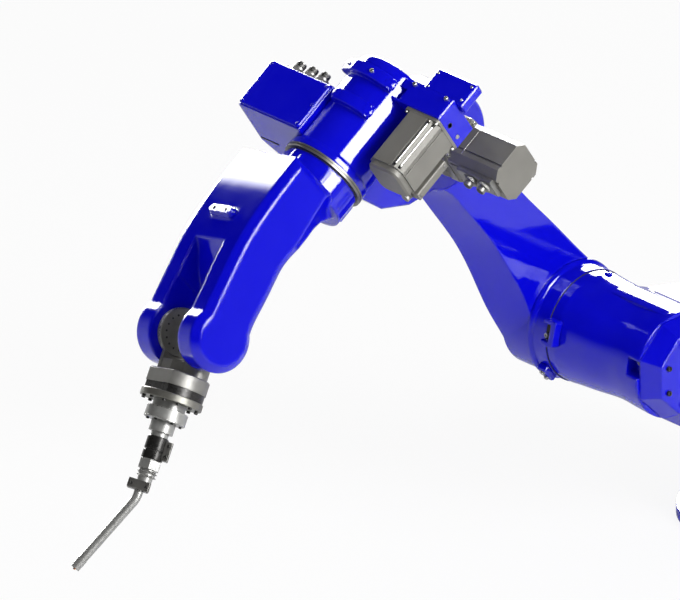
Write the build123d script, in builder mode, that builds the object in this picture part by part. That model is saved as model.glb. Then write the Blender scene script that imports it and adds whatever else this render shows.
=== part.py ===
from build123d import *
from math import cos, radians, sin
import os

# Six-axis floor-mounted welding robot, standing in one working posture.
# Millimetres, +Z up, +X the way the arm reaches, origin under the base on the swivel axis.

# Driving dimensions of the arm
shoulder_offset = 325.0  # swivel axis to shoulder axis
shoulder_height = 450.0  # floor to shoulder axis
lower_arm_length = 611.0  # shoulder axis to elbow axis
roll_offset = 200.0  # elbow axis to forearm roll axis
roll_side = -147.0  # forearm roll axis, measured from the swivel axis
forearm_length = 640.0  # elbow axis to wrist axis, along the roll axis

# Posture, in degrees
lean_angle = 36.2  # lower arm ahead of upright
droop_angle = 33.1  # forearm below level
roll_angle = 20.6  # forearm turned about its own axis
bend_angle = 23.0  # wrist below the forearm

# Clearances
turn_gap = 0.3  # between bodies that turn on each other
part_gap = 0.3  # between pieces bolted together round a curve

# Base
base_radius = 158.0
flange_height = 22.0
pedestal_radius = 118.0
pedestal_top = 172.0
ring_radius = 132.0
ring_height = 20.0
base_pcd = 283.0
base_hole_radius = 9.0
base_hole_count = 4
base_rib_width = 12.0
base_box_seat = 150.0  # swivel axis to the connector box

# Swivel
turntable_radius = 140.0
turntable_height = 30.0
barrel_radius = 109.0
barrel_waist = 100.0
barrel_rear_radius = 105.0
barrel_half_length = 132.5
barrel_rear = 102.0  # where the round barrel ends and its faceted cap begins
column_half_width = 102.0
column_recess = 22.0
end_cap_depth = 40.0
pocket_depth = 34.0  # from the barrel's front to the floor of its pocket
swivel_motor_size = 92.0
stop_width = 30.0
stop_angle = 14.0  # stop block above level, round the barrel
bumper_angle = -38.0  # bumper on the arm, round the barrel

# Lower arm
hub_radius = 111.0
hub_neck = 44.0
hub_flare = 117.0
arm_thickness = 80.0
elbow_hub_radius = 95.0
arm_edge = 8.0
arm_recess = 16.0

# Elbow
drum_thickness = 42.0
tube_radius = 82.0
tube_rear = 14.0
tube_round = 12.0
lug_width = 24.0
lug_height = 20.0
lug_rear = 55.0
lug_front = 123.0
ring_plane = 242.0  # roll bearing plane, along the forearm
ring_thickness = 9.0
box_front = 219.5
box_rear = 112.0
box_top = 290.0
bracket_rear = 25.0
bracket_front = 72.0
bracket_side = 41.0
roll_motor_side = -3.0
roll_motor_height = 207.0
motor_size = 86.0
motor_corner = 15.0
motor_flange = 6.0
motor_length = 121.0
motor_cap = 14.0
elbow_motor_start = -85.0
elbow_motor_x = 2.0
elbow_motor_z = 5.0

# Forearm
fork_half_width = 110.0
ridge_half_width = 95.0
fork_gap = 104.0
prong_radius = 64.0
prong_face_radius = 43.0
prong_rim = 98.0  # where the rounded rim of a prong begins
crotch = 75.0  # fork root behind the wrist axis
window_rear = 151.0  # top window's rear edge behind the wrist axis
window_half_width = 50.0
outline_span = 349.2  # housing rear to the wrist axis, for the outline points
collar_radius = 79.0
collar_length = 44.0
pad_back = 205.0  # wrist axis to the pad's middle
pad_length = 80.0
pad_width = 21.0

# Wrist and tool
wrist_hub_radius = 46.0
wrist_disc = 41.0  # bolted disc's face, to the side of the roll axis
wrist_housing_radius = 58.5
housing_start = 77.0
gearbox_split = 104.0
gearbox_band_end = 120.0
flange_face = 134.0
flange_radius = 31.5
mount_start = 147.0
mount_radius = 39.5
body_radius = 20.3
nut_radius = 22.0
neck_clamp_start = 287.0
torch_bend = 23.0
torch_turn = 32.7  # bend plane of the torch neck, round the tool axis
neck_start = 305.0
neck_radius = 8.6
neck_offset = 3.5
neck_bend_radius = 50.0
neck_straight = 139.0
nozzle_radius = 9.4
nozzle_length = 22.0

barrel_face = -barrel_half_length
arm_inner = barrel_face - hub_neck
arm_outer = arm_inner - arm_thickness

# Link frames: x along the reach, y to the robot's left, z up
shoulder = Plane(
    origin=(shoulder_offset, 0, shoulder_height),
    x_dir=(cos(radians(lean_angle)), 0, -sin(radians(lean_angle))),
    z_dir=(sin(radians(lean_angle)), 0, cos(radians(lean_angle))),
)
swivel = Plane(origin=shoulder.origin)
elbow = Plane(
    origin=shoulder.from_local_coords((0, 0, lower_arm_length)),
    x_dir=(cos(radians(droop_angle)), 0, -sin(radians(droop_angle))),
    z_dir=(sin(radians(droop_angle)), 0, cos(radians(droop_angle))),
)


def turned(link, origin, axis, angle):
    """A frame at a point of a link, turned about one of the link's own axes."""
    turn = Axis(origin, axis)
    x_dir = link.x_dir.rotate(Axis((0, 0, 0), turn.direction), angle)
    z_dir = link.z_dir.rotate(Axis((0, 0, 0), turn.direction), angle)
    return Plane(origin=origin, x_dir=x_dir, z_dir=z_dir)


roll_root = elbow.from_local_coords((0, roll_side, roll_offset))
forearm_link = turned(elbow, roll_root, elbow.x_dir, roll_angle)
wrist_centre = forearm_link.from_local_coords((forearm_length, 0, 0))
wrist = turned(forearm_link, wrist_centre, forearm_link.y_dir, bend_angle)
torch = turned(wrist, wrist_centre, wrist.x_dir, torch_turn)


def side(link, y=0.0):
    """The plane of a link's x and z at y, facing the robot's right."""
    return Plane(origin=link.from_local_coords((0, y, 0)), x_dir=link.x_dir, z_dir=-link.y_dir)


def across(link, x=0.0):
    """The plane of a link's y and z at x, facing along the reach."""
    return Plane(origin=link.from_local_coords((x, 0, 0)), x_dir=link.y_dir, z_dir=link.x_dir)


def level(link, z=0.0):
    """The plane of a link's x and y at z, facing up."""
    return Plane(origin=link.from_local_coords((0, 0, z)), x_dir=link.x_dir, z_dir=link.z_dir)


def round_barrel(link, angle, y):
    """A frame on the barrel at an angle above level: x outward, y along the barrel."""
    around = turned(link, link.origin, link.y_dir, -angle)
    return Plane(origin=around.from_local_coords((0, y, 0)), x_dir=around.x_dir, z_dir=around.z_dir)


os.makedirs("parts", exist_ok=True)


def save(part, label):
    part.label = label
    export_step(part, f"parts/{label}.step")


# Base: a bolted flange and a ribbed round pedestal
with BuildPart() as base_casting:
    with BuildSketch():
        Circle(base_radius)
    extrude(amount=flange_height)
    fillet(base_casting.edges().group_by(Axis.Z)[-1], 4)
    with BuildSketch(Plane.XY.offset(flange_height)):
        Circle(pedestal_radius + 14)
    with BuildSketch(Plane.XY.offset(pedestal_top)):
        Circle(pedestal_radius)
    loft()
    for rib in range(8):
        with BuildSketch(Plane.XZ.rotated((0, 0, 22.5 + 45 * rib))):
            with BuildLine():
                Polyline(
                    (pedestal_radius - 10, flange_height - 2),
                    (base_radius - 8, flange_height - 2),
                    (base_radius - 8, flange_height + 8),
                    (pedestal_radius + 6, pedestal_top - 40),
                    (pedestal_radius - 10, pedestal_top - 40),
                    close=True,
                )
            make_face()
        extrude(amount=base_rib_width / 2, both=True)
    with BuildSketch(Plane.YZ.offset(-base_box_seat)):
        with Locations((0, 98)):
            RectangleRounded(132, 112, 8)
    extrude(amount=60)
    with PolarLocations(base_pcd / 2, base_hole_count, start_angle=45):
        Hole(base_hole_radius, depth=flange_height * 4)
save(base_casting.part, "base_casting")

with BuildPart() as base_connector_box:
    with BuildSketch(Plane.YZ.offset(-base_box_seat)):
        with Locations((0, 98)):
            RectangleRounded(120, 100, 5)
    extrude(amount=-34)
    chamfer(base_connector_box.edges().group_by(Axis.X)[0], 3)
save(base_connector_box.part, "base_connector_box")

box_back = -base_box_seat - 34
with BuildPart() as base_connectors:
    with BuildSketch(Plane.YZ.offset(box_back)):
        with Locations((0, 98)):
            RectangleRounded(108, 62, 4)
    extrude(amount=-4)
    with BuildSketch(Plane.YZ.offset(box_back - 4)):
        for reach in (-34, 0, 34):
            with Locations((reach, 102)):
                Circle(13.5)
    extrude(amount=-18)
    with BuildSketch(Plane.YZ.offset(box_back - 22)):
        for reach in (-34, 0, 34):
            with Locations((reach, 102)):
                Circle(10)
    extrude(amount=12, mode=Mode.SUBTRACT)
save(base_connectors.part, "base_connectors")

with BuildPart() as base_ring:
    with BuildSketch(Plane.XY.offset(pedestal_top)):
        Circle(ring_radius)
    extrude(amount=ring_height)
    chamfer(base_ring.edges().group_by(Axis.Z)[-1], 3)
save(base_ring.part, "base_ring")

# Swivel: turntable, column and the waisted shoulder barrel
turntable_base = pedestal_top + ring_height + turn_gap
column_base = turntable_base + turntable_height

with BuildPart() as turntable:
    with BuildSketch(Plane.XY.offset(turntable_base)):
        Circle(turntable_radius)
    extrude(amount=turntable_height)
    fillet(turntable.edges().group_by(Axis.Z)[-1], 6)
save(turntable.part, "turntable")

column_foot = column_base - shoulder_height
barrel_axis = Axis(shoulder.origin, (0, 1, 0))
with BuildPart() as swivel_column:
    with BuildSketch(side(swivel, 0)):
        with BuildLine():
            Polyline(
                (-443, column_foot),
                (-165, column_foot),
                (-110, column_foot + 28),
                (-40, -96),
                (0, 0),
                (-60, 78),
                (-120, 52),
                (-265, 20),
                (-385, -50),
                (-443, -130),
                close=True,
            )
        make_face()
    extrude(amount=column_half_width, both=True)
    column_flanks = swivel_column.faces().filter_by(Axis.Y)
    chamfer(column_flanks.edges().filter_by(GeomType.LINE), 7)
    for hand in (-1, 1):
        with BuildSketch(side(swivel, hand * column_half_width)):
            with BuildLine():
                Polyline(
                    (-412, column_foot + 32),
                    (-300, column_foot + 32),
                    (-300, -44),
                    (-368, -84),
                    (-412, -142),
                    close=True,
                )
            make_face()
            with BuildLine():
                Polyline(
                    (-280, column_foot + 32),
                    (-186, column_foot + 32),
                    (-136, column_foot + 58),
                    (-112, -128),
                    (-126, -20),
                    (-176, 4),
                    (-280, -24),
                    close=True,
                )
            make_face()
        extrude(amount=hand * column_recess, mode=Mode.SUBTRACT)
    with BuildSketch(side(swivel, barrel_rear)):
        with BuildLine():
            ThreePointArc(
                (-barrel_rear_radius, -30),
                (-74, 75),
                (20, barrel_rear_radius - 2),
            )
            Polyline((20, barrel_rear_radius - 2), (0, 0), (-barrel_rear_radius, -30))
        make_face()
    extrude(amount=barrel_rear + barrel_half_length)
    with BuildSketch(across(swivel, 0)):
        with BuildLine():
            Polyline(
                (barrel_face, barrel_radius),
                (barrel_face, 0),
                (barrel_rear, 0),
                (barrel_rear, barrel_rear_radius),
                (barrel_rear - 10, barrel_rear_radius),
            )
            Spline(
                (barrel_rear - 10, barrel_rear_radius),
                (62, barrel_waist + 3),
                (26, barrel_waist),
                (-50, barrel_waist + 4.5),
                (-112, barrel_radius),
                tangents=((-1, -0.1), (-1, 0.12)),
            )
            Line((-112, barrel_radius), (barrel_face, barrel_radius))
        make_face()
    revolve(axis=barrel_axis, revolution_arc=360)
    with BuildSketch(across(swivel, barrel_radius)) as barrel_pocket:
        with Locations((103, 20)):
            SlotOverall(62, 34)
        with Locations((90, 20)):
            Rectangle(36, 34)
    extrude(amount=-pocket_depth, mode=Mode.SUBTRACT)
    with BuildSketch(Plane.XY.offset(column_base)):
        with Locations((52, column_half_width + 40)):
            RectangleRounded(112, 116, 12)
    extrude(amount=24)
save(swivel_column.part, "swivel_column")

motor_floor = column_base + 24
with BuildPart() as swivel_motor:
    with BuildSketch(Plane.XY.offset(motor_floor)) as swivel_motor_section:
        with Locations((52, column_half_width + 50)):
            Rectangle(swivel_motor_size, swivel_motor_size)
        chamfer(swivel_motor_section.vertices(), motor_corner)
    extrude(amount=118)
    with BuildSketch(Plane.XY.offset(motor_floor + 118)):
        with Locations((52, column_half_width + 50)):
            RectangleRounded(swivel_motor_size - 10, swivel_motor_size - 10, 20)
    extrude(amount=30)
    chamfer(swivel_motor.edges().group_by(Axis.Z)[-1], 4)
save(swivel_motor.part, "swivel_motor")

with BuildPart() as shoulder_end_cap:
    with BuildSketch(side(swivel, barrel_rear)):
        RegularPolygon(barrel_rear_radius, 8, rotation=22.5)
    extrude(amount=-end_cap_depth, taper=26)
    add(barrel_pocket.sketch)
    extrude(amount=-pocket_depth, mode=Mode.SUBTRACT)
save(shoulder_end_cap.part, "shoulder_end_cap")

stop_plane = round_barrel(swivel, stop_angle, barrel_face + stop_width / 2 + 3)
with BuildPart() as shoulder_stop_block:
    with BuildSketch(across(stop_plane, barrel_radius - 16)):
        RectangleRounded(stop_width, 52, 6)
    extrude(amount=34)
    with BuildSketch(across(stop_plane, barrel_radius + 18)):
        with Locations((-6, 0)):
            RectangleRounded(20, 34, 3)
    extrude(amount=-13, mode=Mode.SUBTRACT)
    with BuildSketch(side(swivel, 0)):
        Circle(barrel_radius + part_gap)
    extrude(amount=barrel_half_length + 1, mode=Mode.SUBTRACT)
save(shoulder_stop_block.part, "shoulder_stop_block")

# Lower arm: a cast plate whose front face widens from the inner to the outer side
elbow_chord = elbow_hub_radius * 0.94
with BuildPart() as lower_arm:
    with BuildSketch(side(shoulder, arm_inner)):
        with BuildLine():
            Spline(
                (98, 30),
                (58, 112),
                (43, 204),
                (34, 310),
                (38, 420),
                (elbow_chord, lower_arm_length - 30),
                tangents=((-0.5, 1), (0.6, 1)),
            )
            Line((elbow_chord, lower_arm_length - 30), (-elbow_chord, lower_arm_length - 30))
            Spline(
                (-elbow_chord, lower_arm_length - 30),
                (-72, 440),
                (-73, 323),
                (-85, 209),
                (-104, 30),
                tangents=((0.3, -1), (-0.15, -1)),
            )
            Line((-104, 30), (98, 30))
        make_face()
    with BuildSketch(side(shoulder, arm_outer)):
        with BuildLine():
            Spline(
                (105.5, 30),
                (100, 112),
                (83, 210),
                (69, 310),
                (67, 420),
                (elbow_chord, lower_arm_length - 30),
                tangents=((-0.1, 1), (0.45, 1)),
            )
            Line((elbow_chord, lower_arm_length - 30), (-elbow_chord, lower_arm_length - 30))
            Spline(
                (-elbow_chord, lower_arm_length - 30),
                (-72, 440),
                (-73, 323),
                (-85, 209),
                (-104, 30),
                tangents=((0.3, -1), (-0.15, -1)),
            )
            Line((-104, 30), (105.5, 30))
        make_face()
    loft()
    with BuildSketch(side(shoulder, arm_inner)):
        Circle(hub_radius)
        with Locations((0, lower_arm_length)):
            Circle(elbow_hub_radius)
    extrude(amount=arm_thickness)
    chamfer(lower_arm.edges().group_by(Axis((0, 0, 0), (0, 1, 0)))[0], arm_edge)
    with BuildSketch(across(shoulder, 0)):
        with BuildLine():
            Polyline(
                (arm_inner, hub_flare),
                (arm_inner, 0),
                (barrel_face - turn_gap, 0),
                (barrel_face - turn_gap, hub_radius),
                (arm_inner + 14, hub_radius),
            )
            ThreePointArc(
                (arm_inner + 14, hub_radius),
                (arm_inner + 5, hub_radius + 3.5),
                (arm_inner, hub_flare),
            )
        make_face()
    revolve(axis=barrel_axis, revolution_arc=360)
    with BuildSketch(side(shoulder, arm_outer)) as arm_pocket:
        with BuildLine():
            Polyline((48, 160), (36, 300), (34, 470), (-46, 470), (-46, 330), (-58, 160), close=True)
        make_face()
        fillet(arm_pocket.vertices(), 12)
    extrude(amount=-arm_recess, mode=Mode.SUBTRACT)
save(lower_arm.part, "lower_arm")

bumper_plane = round_barrel(swivel, bumper_angle, barrel_face - 17)
with BuildPart() as shoulder_bumper:
    with BuildSketch(across(bumper_plane, hub_radius - 14)):
        RectangleRounded(24, 38, 5)
    extrude(amount=26)
    chamfer(shoulder_bumper.edges().group_by(Axis((0, 0, 0), bumper_plane.x_dir))[-1], 3)
    with BuildSketch(side(swivel, barrel_face)):
        Circle(hub_radius + part_gap)
    extrude(amount=hub_neck, mode=Mode.SUBTRACT)
save(shoulder_bumper.part, "shoulder_bumper")

with BuildPart() as shoulder_cover:
    with BuildSketch(side(shoulder, arm_outer)):
        Circle(78)
    extrude(amount=14, taper=20)
    with BuildSketch(side(shoulder, arm_outer - 14)):
        Circle(44)
    extrude(amount=6, taper=30)
save(shoulder_cover.part, "shoulder_cover")

with BuildPart() as elbow_cover:
    with BuildSketch(side(elbow, arm_outer)):
        Circle(80)
    extrude(amount=40, taper=8)
    fillet(elbow_cover.edges().group_by(Axis((0, 0, 0), (0, 1, 0)))[0], 8)
save(elbow_cover.part, "elbow_cover")

# Elbow: drum, saddle and roll tube in one casting
elbow_inner = arm_inner + turn_gap
elbow_face = elbow_inner + drum_thickness
tube_end = ring_plane - ring_thickness / 2
rear_arc = CenterArc((roll_side, roll_offset), tube_radius + 5, 53, 75)
front_arc = CenterArc((roll_side, roll_offset), tube_radius + 5, 54, 46)
roll_axis = Axis(roll_root, elbow.x_dir)

with BuildPart() as elbow_housing:
    with BuildSketch(side(elbow, elbow_face)):
        with BuildLine():
            Polyline(
                (0, elbow_hub_radius),
                (20, roll_offset),
                (tube_end, roll_offset),
                (tube_end - 5, 130),
                (210, 87),
                (187, 26),
                (135, -26),
                (60, -60),
                (0, 0),
                close=True,
            )
        make_face()
        Circle(elbow_hub_radius)
    extrude(amount=drum_thickness)
    drum_rim = elbow_housing.edges().group_by(Axis((0, 0, 0), (0, 1, 0)))[-1]
    chamfer(drum_rim, 5)
    with BuildSketch(level(elbow, roll_offset)):
        with BuildLine():
            Polyline(
                (tube_rear, roll_side + tube_radius - tube_round),
                (tube_rear, roll_side),
                (tube_end, roll_side),
                (tube_end, roll_side + tube_radius + 3),
                (tube_end - 12, roll_side + tube_radius + 3),
                (tube_end - 17, roll_side + tube_radius),
                (tube_rear + tube_round, roll_side + tube_radius),
            )
            ThreePointArc(
                (tube_rear + tube_round, roll_side + tube_radius),
                (tube_rear + 0.3 * tube_round, roll_side + tube_radius - 0.3 * tube_round),
                (tube_rear, roll_side + tube_radius - tube_round),
            )
        make_face()
    revolve(axis=roll_axis, revolution_arc=360)
    for lug, lug_arc in ((lug_rear, rear_arc), (lug_front, front_arc)):
        with BuildSketch(across(elbow, lug - lug_width / 2)):
            SlotArc(lug_arc, lug_height)
        extrude(amount=lug_width)
save(elbow_housing.part, "elbow_housing")

with BuildPart() as roll_bearing_ring:
    with BuildSketch(across(elbow, tube_end)):
        with Locations((roll_side, roll_offset)):
            Circle(tube_radius + 3.5)
    extrude(amount=ring_thickness)
save(roll_bearing_ring.part, "roll_bearing_ring")

box_side = -343.0
with BuildPart() as junction_box:
    with BuildSketch(across(elbow, box_rear)) as box_section:
        with BuildLine():
            Polyline(
                (-182, 160),
                (-182, box_top),
                (box_side, box_top),
                (box_side, 178),
                (box_side + 30, 145),
                (-215, 145),
                close=True,
            )
        make_face()
        fillet(box_section.vertices().group_by(Axis.X)[0], 5)
    extrude(amount=box_front - box_rear)
    with BuildSketch(across(elbow, 0)):
        with Locations((roll_side, roll_offset)):
            Circle(tube_radius + part_gap)
    extrude(amount=box_front + 10, mode=Mode.SUBTRACT)
save(junction_box.part, "junction_box")

with BuildPart() as junction_lid:
    with BuildSketch(level(elbow, box_top)):
        with Locations(((box_front + box_rear) / 2, (box_side - 182) / 2)):
            RectangleRounded(box_front - box_rear - 4, -182 - box_side - 4, 6)
    extrude(amount=5)
    chamfer(junction_lid.edges().group_by(Axis((0, 0, 0), elbow.z_dir))[-1], 1.5)
save(junction_lid.part, "junction_lid")

with BuildPart() as junction_connectors:
    with BuildSketch(across(elbow, box_rear)):
        with Locations((-270, 264)):
            RectangleRounded(100, 36, 5)
    extrude(amount=-4)
    with BuildSketch(across(elbow, box_rear - 4)):
        for reach in (-302, -270, -238):
            with Locations((reach, 264)):
                Circle(13)
    extrude(amount=-12)
    with BuildSketch(across(elbow, box_rear - 16)):
        for reach in (-302, -270, -238):
            with Locations((reach, 264)):
                Circle(9)
    extrude(amount=-12)
save(junction_connectors.part, "junction_connectors")

with BuildPart() as motor_bracket:
    with BuildSketch(across(elbow, bracket_rear)):
        with BuildLine():
            Polyline(
                (-112, 255),
                (bracket_side, 255),
                (bracket_side, 163),
                (bracket_side - 12, 160),
                (-44, 160),
                (-60, 138),
                (-112, 138),
                close=True,
            )
        make_face()
    extrude(amount=bracket_front - bracket_rear)
    bracket_corner = motor_bracket.edges().filter_by(Axis((0, 0, 0), elbow.x_dir))
    fillet(bracket_corner.group_by(Axis((0, 0, 0), (0, 1, 0)))[-1], 5)
    with BuildSketch(level(elbow, 130)):
        with Locations(((bracket_rear + bracket_front) / 2, -2)):
            RectangleRounded(26, 58, 6)
    extrude(amount=62, mode=Mode.SUBTRACT)
    with BuildSketch(across(elbow, 0)):
        with Locations((roll_side, roll_offset)):
            Circle(tube_radius + part_gap)
    extrude(amount=bracket_front + 10, mode=Mode.SUBTRACT)
    with BuildSketch(across(elbow, lug_rear - lug_width / 2 - part_gap)):
        with Locations((roll_side, roll_offset)):
            Circle(tube_radius + 15 + part_gap)
    extrude(amount=lug_width + 2 * part_gap, mode=Mode.SUBTRACT)
save(motor_bracket.part, "motor_bracket")

with BuildPart() as gear_cover:
    with BuildSketch(across(elbow, bracket_rear)) as gear_section:
        with Locations((0, 229)):
            RectangleRounded(106, 24, 6)
    extrude(amount=-53)
    chamfer(gear_cover.edges().group_by(Axis((0, 0, 0), elbow.x_dir))[0], 3)
save(gear_cover.part, "gear_cover")

with BuildPart() as roll_motor:
    with BuildSketch(across(elbow, bracket_front)):
        with Locations((roll_motor_side, roll_motor_height)):
            RectangleRounded(motor_size + 2, motor_size + 2, 8)
    extrude(amount=motor_flange)
    with BuildSketch(across(elbow, bracket_front + motor_flange)) as roll_section:
        with Locations((roll_motor_side, roll_motor_height)):
            Rectangle(motor_size, motor_size)
        chamfer(roll_section.vertices(), motor_corner)
        for turn in (0, 90, 180, 270):
            with Locations(
                (
                    roll_motor_side + (motor_size / 2) * cos(radians(turn)) + 20 * sin(radians(turn)),
                    roll_motor_height + (motor_size / 2) * sin(radians(turn)) + 20 * cos(radians(turn)),
                )
            ):
                Rectangle(5, 5, mode=Mode.SUBTRACT)
    extrude(amount=motor_length - motor_flange)
    with BuildSketch(across(elbow, bracket_front + motor_length)) as roll_cap_section:
        with Locations((roll_motor_side, roll_motor_height)):
            RectangleRounded(motor_size - 8, motor_size - 8, 20)
    extrude(amount=motor_cap)
    chamfer(roll_motor.edges().group_by(Axis((0, 0, 0), elbow.x_dir))[-1], 4)
save(roll_motor.part, "roll_motor")

motor_under = roll_motor_height - motor_size / 2
with BuildPart() as roll_motor_connectors:
    with BuildSketch(across(elbow, 106)):
        with Locations((10, motor_under - 9)):
            RectangleRounded(52, 18, 3)
    extrude(amount=84)
    with BuildSketch(across(elbow, 190)):
        with Locations((10, motor_under - 9)):
            Circle(7)
    extrude(amount=14)
save(roll_motor_connectors.part, "roll_motor_connectors")

with BuildPart() as elbow_gearbox:
    with BuildSketch(side(elbow, elbow_face + part_gap)):
        with Locations((elbow_motor_x, elbow_motor_z)):
            Circle(58)
    extrude(amount=-30)
    with BuildSketch(side(elbow, elbow_face + part_gap + 30)):
        with Locations((elbow_motor_x, elbow_motor_z)):
            RectangleRounded(motor_size + 8, motor_size + 8, 10)
    extrude(amount=elbow_face + part_gap + 30 - elbow_motor_start)
save(elbow_gearbox.part, "elbow_gearbox")

with BuildPart() as elbow_motor:
    with BuildSketch(side(elbow, elbow_motor_start)):
        with Locations((elbow_motor_x, elbow_motor_z)):
            RectangleRounded(motor_size + 4, motor_size + 4, 8)
    extrude(amount=-motor_flange)
    with BuildSketch(side(elbow, elbow_motor_start + motor_flange)) as elbow_motor_section:
        with Locations((elbow_motor_x, elbow_motor_z)):
            Rectangle(motor_size + 4, motor_size + 2)
        chamfer(elbow_motor_section.vertices(), motor_corner)
        for turn in (0, 90, 180, 270):
            with Locations(
                (
                    elbow_motor_x + (motor_size / 2 + 2) * cos(radians(turn)) + 20 * sin(radians(turn)),
                    elbow_motor_z + (motor_size / 2 + 1) * sin(radians(turn)) + 20 * cos(radians(turn)),
                )
            ):
                Rectangle(5, 5, mode=Mode.SUBTRACT)
    extrude(amount=-motor_length - motor_flange)
save(elbow_motor.part, "elbow_motor")

motor_front = elbow_motor_x + motor_size / 2 + 2
with BuildPart() as elbow_motor_connectors:
    with BuildSketch(side(elbow, -48)):
        with Locations((motor_front + 5, 14)):
            RectangleRounded(10, 44, 3)
    extrude(amount=-88)
    with BuildSketch(across(elbow, motor_front + 10)):
        for reach in (-14, 20):
            with Locations((reach, 20)):
                Circle(12)
    extrude(amount=7)
    with BuildSketch(across(elbow, motor_front + 17)):
        for reach in (-14, 20):
            with Locations((reach, 20)):
                Circle(8)
    extrude(amount=9)
save(elbow_motor_connectors.part, "elbow_motor_connectors")

# Forearm: a cast fork with an arched, faceted underside and a sloped top window
forearm_start = ring_plane + ring_thickness / 2 + turn_gap
housing_rear = forearm_start + collar_length
outline_stretch = (forearm_length - housing_rear) / outline_span


def back_of_wrist(distance):
    # where a point of the forearm's outline lies, for its distance behind the wrist axis
    return forearm_length - distance * outline_stretch


ridge_top = 113.0
wrist_axis = Axis(wrist_centre, forearm_link.y_dir)
with BuildPart() as forearm:
    with BuildSketch(side(forearm_link, fork_half_width)):
        with BuildLine():
            Spline(
                (housing_rear, ridge_top),
                (back_of_wrist(246), 110),
                (back_of_wrist(159), 100),
                (back_of_wrist(79), 80),
                (forearm_length + 8, prong_radius - 9),
                tangents=((1, 0), (1, -0.36)),
            )
            Line((forearm_length + 8, prong_radius - 9), (forearm_length, 0))
            Line((forearm_length, 0), (forearm_length - 22, -prong_radius + 5))
            Spline(
                (forearm_length - 22, -prong_radius + 5),
                (back_of_wrist(52), -41),
                (back_of_wrist(100), -28),
                (back_of_wrist(149), -16),
                (back_of_wrist(185), -8),
                (back_of_wrist(225), -9),
                (back_of_wrist(267), -13),
                (back_of_wrist(303), -21),
                tangents=((-1, 0.75), (-1, -0.4)),
            )
            Polyline((back_of_wrist(303), -21), (housing_rear, -60), (housing_rear, ridge_top))
        make_face()
        with Locations((forearm_length, 0)):
            Circle(prong_radius)
    extrude(amount=2 * fork_half_width)
    flanks = forearm.faces().filter_by(lambda face: face.normal_at().cross(forearm_link.y_dir).length < 1e-4)
    chamfer(flanks.edges(), 14)
    for hand in (-1, 1):
        with BuildSketch(across(forearm_link, housing_rear - 2)):
            with BuildLine():
                Polyline((hand * 112, 26), (hand * 30, -62), (hand * 150, -62), (hand * 150, 26), close=True)
            make_face()
        with BuildSketch(across(forearm_link, back_of_wrist(170))):
            with BuildLine():
                Polyline((hand * 112, 0), (hand * 106, -10), (hand * 150, -10), (hand * 150, 0), close=True)
            make_face()
        loft(ruled=True, mode=Mode.SUBTRACT)
    with BuildSketch(across(forearm_link, forearm_start)):
        Circle(collar_radius)
    extrude(amount=collar_length + 10)
    with BuildSketch(across(forearm_link, forearm_start + 9)):
        RegularPolygon(collar_radius + 2.5, 8, rotation=22.5)
    extrude(amount=collar_length - 9)
    with BuildSketch(level(forearm_link, 92)):
        with Locations((back_of_wrist(pad_back), 0)):
            SlotOverall(pad_length + 3, pad_width + 3, rotation=90)
    extrude(amount=16)
    with BuildSketch(side(forearm_link, window_half_width)):
        with BuildLine():
            Polyline(
                (forearm_length + 90, 130),
                (forearm_length - window_rear - 6, 130),
                (forearm_length - window_rear, 99),
            )
            Spline(
                (forearm_length - window_rear, 99),
                (forearm_length - 116, 56),
                (forearm_length - 84, 10),
                (forearm_length - crotch, -50),
                tangents=((0.35, -1), (0.1, -1)),
            )
            Polyline(
                (forearm_length - crotch, -50),
                (forearm_length - crotch, -90),
                (forearm_length + 90, -90),
                (forearm_length + 90, 130),
            )
        make_face()
    extrude(amount=2 * window_half_width, mode=Mode.SUBTRACT)
    with BuildSketch(level(forearm_link, -90)):
        with Locations((forearm_length - crotch + 100, 0)):
            Rectangle(200, fork_gap)
    extrude(amount=220, mode=Mode.SUBTRACT)
save(forearm.part, "forearm")

with BuildPart() as forearm_pad:
    with BuildSketch(level(forearm_link, 108)):
        with Locations((back_of_wrist(pad_back), 0)):
            SlotOverall(pad_length, pad_width, rotation=90)
    extrude(amount=6)
    with BuildSketch(level(forearm_link, 114)):
        with Locations((back_of_wrist(pad_back), 0)):
            SlotOverall(pad_length - 5, pad_width - 5, rotation=90)
    extrude(amount=6)
save(forearm_pad.part, "forearm_pad")

# Wrist: the bending yoke and the tool gearbox
fork_face = fork_gap / 2 - turn_gap
with BuildPart() as wrist_hub_disc:
    with BuildSketch(side(wrist, -wrist_disc)):
        Circle(wrist_hub_radius)
    extrude(amount=fork_face - wrist_disc)
    chamfer(wrist_hub_disc.edges().group_by(Axis((0, 0, 0), wrist.y_dir))[-1], 1.5)
    with BuildSketch(side(wrist, -wrist_disc - 2)):
        with BuildLine():
            Polyline((0, 22), (housing_start, 21), (housing_start, -36), (0, -36), close=True)
        make_face()
    extrude(amount=fork_face - wrist_disc - 2)
save(wrist_hub_disc.part, "wrist_hub_disc")

with BuildPart() as wrist_yoke:
    with BuildSketch(side(wrist, fork_face)):
        Circle(wrist_hub_radius)
    extrude(amount=fork_face - 30)
    with BuildSketch(side(wrist, 30)):
        Circle(wrist_hub_radius - 10)
    extrude(amount=12)
    with BuildSketch(across(wrist, -26)):
        with Locations((20, -18)):
            Circle(26)
    extrude(amount=housing_start + 26)
    with BuildSketch(across(wrist, housing_start - 22)):
        with BuildLine():
            Polyline(
                (-wrist_disc - 2, 20),
                (-8, 20),
                (20, 8),
                (20, -44),
                (-wrist_disc - 2, -34),
                close=True,
            )
        make_face()
    extrude(amount=22)
save(wrist_yoke.part, "wrist_yoke")

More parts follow.
